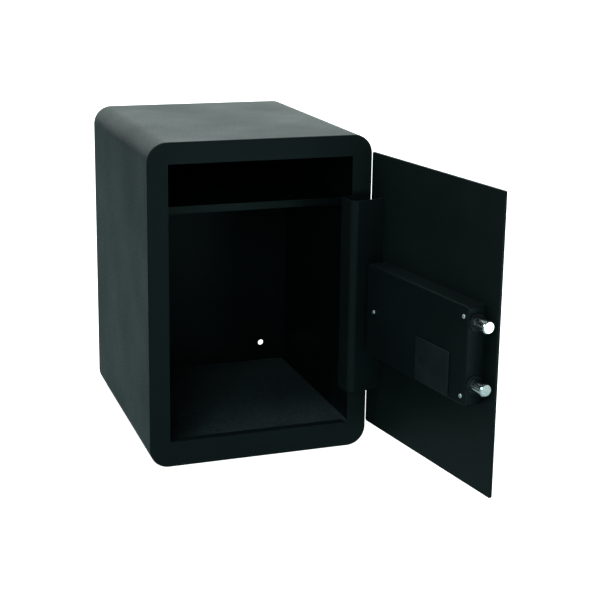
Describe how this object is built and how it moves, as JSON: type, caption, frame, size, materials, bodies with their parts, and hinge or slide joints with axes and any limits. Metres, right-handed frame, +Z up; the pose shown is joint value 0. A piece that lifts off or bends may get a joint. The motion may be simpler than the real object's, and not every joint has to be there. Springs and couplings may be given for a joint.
{
  "type": "parcel drop box",
  "caption": "Steel cabinet with a rear drop slot, a sloping baffle and a lockable front door on a concealed arm hinge, for receiving parcels securely.",
  "frame": {"origin": "centre of the cabinet's base, on the surface it stands on", "axes": "+Z up, -Y out of the front, +X to the right seen from the front"},
  "size_m": [0.4217, 0.7275, 0.5],
  "materials": {
    "powder_coat": "fine-textured satin powder coat",
    "lock_coat": "smoother satin paint on folded sheet",
    "floor_felt": "short needle felt with lighter flecks",
    "chrome": "polished",
    "zinc_steel": "bright zinc plate",
    "black_plastic": "fine spark-eroded grain",
    "key_plastic": "satin, light grey",
    "lamp_lens": "tinted clear",
    "board": "green solder mask",
    "coil_wrap": "amber tape",
    "cell_sleeve": "printed sleeve, plain",
    "rubber": "soft silicone",
    "lock_brass": "satin nickel over brass"
  },
  "bodies": {
    "cabinet": {"outer_shell": "powder_coat", "front_frame": "powder_coat", "back_panel": "powder_coat", "slot_trim": "black_plastic", "flap_rod": "zinc_steel", "flap_brackets": "powder_coat", "baffle_shelf": "powder_coat", "baffle_rivets": "powder_coat", "false_floor": "powder_coat", "floor_mat": "floor_felt", "bolt_keeper": "powder_coat", "lower_hinge_bracket": "powder_coat", "upper_hinge_bracket": "powder_coat", "hinge_pin": "zinc_steel", "hinge_washer": "zinc_steel"},
    "slot_flap": {"slot_flap": "powder_coat"},
    "door": {"door_panel": "powder_coat", "hinge_arm": "powder_coat", "lock_cover": "lock_coat", "lock_cover_screws": "zinc_steel", "lock_chassis": "zinc_steel", "bolt_bushings": "black_plastic", "carriage_guide_screws": "zinc_steel", "knob_bushing": "lock_brass", "solenoid_coil": "coil_wrap", "plunger_spring": "zinc_steel", "battery_holder": "black_plastic", "battery_cells": "cell_sleeve", "battery_contacts": "zinc_steel", "circuit_board": "board", "board_standoffs": "lock_brass", "keypad_housing": "black_plastic", "status_lenses": "lamp_lens", "keypad_board": "board", "keypad_membrane": "rubber", "key_lock_body": "zinc_steel", "key_lock_nut": "zinc_steel"},
    "bolt_carriage": {"bolt_carriage": "zinc_steel", "locking_bolts": "chrome", "bolt_screws": "zinc_steel"},
    "knob": {"knob": "black_plastic", "knob_shaft": "zinc_steel", "knob_cam": "zinc_steel", "crank_pin": "zinc_steel"},
    "plunger": {"solenoid_plunger": "zinc_steel"},
    "battery_cover": {"battery_cover": "black_plastic"},
    "key_plug": {"key_lock_plug": "lock_brass", "key_lock_cam": "zinc_steel"},
    "key_7": {"key_7": "key_plastic"},
    "key_8": {"key_8": "key_plastic"},
    "key_9": {"key_9": "key_plastic"},
    "key_4": {"key_4": "key_plastic"},
    "key_5": {"key_5": "key_plastic"},
    "key_6": {"key_6": "key_plastic"},
    "key_1": {"key_1": "key_plastic"},
    "key_2": {"key_2": "key_plastic"},
    "key_3": {"key_3": "key_plastic"},
    "key_star": {"key_star": "key_plastic"},
    "key_0": {"key_0": "key_plastic"},
    "key_hash": {"key_hash": "key_plastic"}
  },
  "joints": [
    {"name": "door_swing", "type": "hinge", "parent": "cabinet", "child": "door", "pos_m": [0.1683, -0.1918, 0.10225], "axis": [0, 0, 1], "range_deg": [-99, 0]},
    {"name": "slot_flap_swing", "type": "hinge", "parent": "cabinet", "child": "slot_flap", "pos_m": [0, 0.1938, 0.469], "axis": [-1, 0, 0], "range_deg": [0, 80]},
    {"name": "bolt_slide", "type": "slide", "parent": "door", "child": "bolt_carriage", "axis": [-0.1564, 0.9877, 0], "range_m": [0, 0.026]},
    {"name": "knob_turn", "type": "hinge", "parent": "door", "child": "knob", "pos_m": [0.21835, -0.41704, 0.268], "axis": [0.9877, 0.1564, 0], "range_deg": [0, 90]},
    {"name": "plunger_slide", "type": "slide", "parent": "door", "child": "plunger", "axis": [0, 0, 1], "range_m": [0, 0.007], "deforming": ["plunger_spring"]},
    {"name": "battery_cover_pull", "type": "slide", "parent": "door", "child": "battery_cover", "axis": [-0.9877, -0.1564, 0], "range_m": [0, 0.03]},
    {"name": "key_plug_turn", "type": "hinge", "parent": "door", "child": "key_plug", "pos_m": [0.19207, -0.25111, 0.2], "axis": [0.9877, 0.1564, 0], "range_deg": [0, 90]},
    {"name": "key_7_press", "type": "slide", "parent": "door", "child": "key_7", "axis": [-0.9877, -0.1564, 0], "range_m": [0, 0.0012], "stiffness_N_per_m": 400},
    {"name": "key_8_press", "type": "slide", "parent": "door", "child": "key_8", "axis": [-0.9877, -0.1564, 0], "range_m": [0, 0.0012], "stiffness_N_per_m": 400},
    {"name": "key_9_press", "type": "slide", "parent": "door", "child": "key_9", "axis": [-0.9877, -0.1564, 0], "range_m": [0, 0.0012], "stiffness_N_per_m": 400},
    {"name": "key_4_press", "type": "slide", "parent": "door", "child": "key_4", "axis": [-0.9877, -0.1564, 0], "range_m": [0, 0.0012], "stiffness_N_per_m": 400},
    {"name": "key_5_press", "type": "slide", "parent": "door", "child": "key_5", "axis": [-0.9877, -0.1564, 0], "range_m": [0, 0.0012], "stiffness_N_per_m": 400},
    {"name": "key_6_press", "type": "slide", "parent": "door", "child": "key_6", "axis": [-0.9877, -0.1564, 0], "range_m": [0, 0.0012], "stiffness_N_per_m": 400},
    {"name": "key_1_press", "type": "slide", "parent": "door", "child": "key_1", "axis": [-0.9877, -0.1564, 0], "range_m": [0, 0.0012], "stiffness_N_per_m": 400},
    {"name": "key_2_press", "type": "slide", "parent": "door", "child": "key_2", "axis": [-0.9877, -0.1564, 0], "range_m": [0, 0.0012], "stiffness_N_per_m": 400},
    {"name": "key_3_press", "type": "slide", "parent": "door", "child": "key_3", "axis": [-0.9877, -0.1564, 0], "range_m": [0, 0.0012], "stiffness_N_per_m": 400},
    {"name": "key_star_press", "type": "slide", "parent": "door", "child": "key_star", "axis": [-0.9877, -0.1564, 0], "range_m": [0, 0.0012], "stiffness_N_per_m": 400},
    {"name": "key_0_press", "type": "slide", "parent": "door", "child": "key_0", "axis": [-0.9877, -0.1564, 0], "range_m": [0, 0.0012], "stiffness_N_per_m": 400},
    {"name": "key_hash_press", "type": "slide", "parent": "door", "child": "key_hash", "axis": [-0.9877, -0.1564, 0], "range_m": [0, 0.0012], "stiffness_N_per_m": 400}
  ],
  "couplings": [
    {"joint": "knob_turn", "follows": "bolt_slide", "rad_per_m": 60.415}
  ]
}
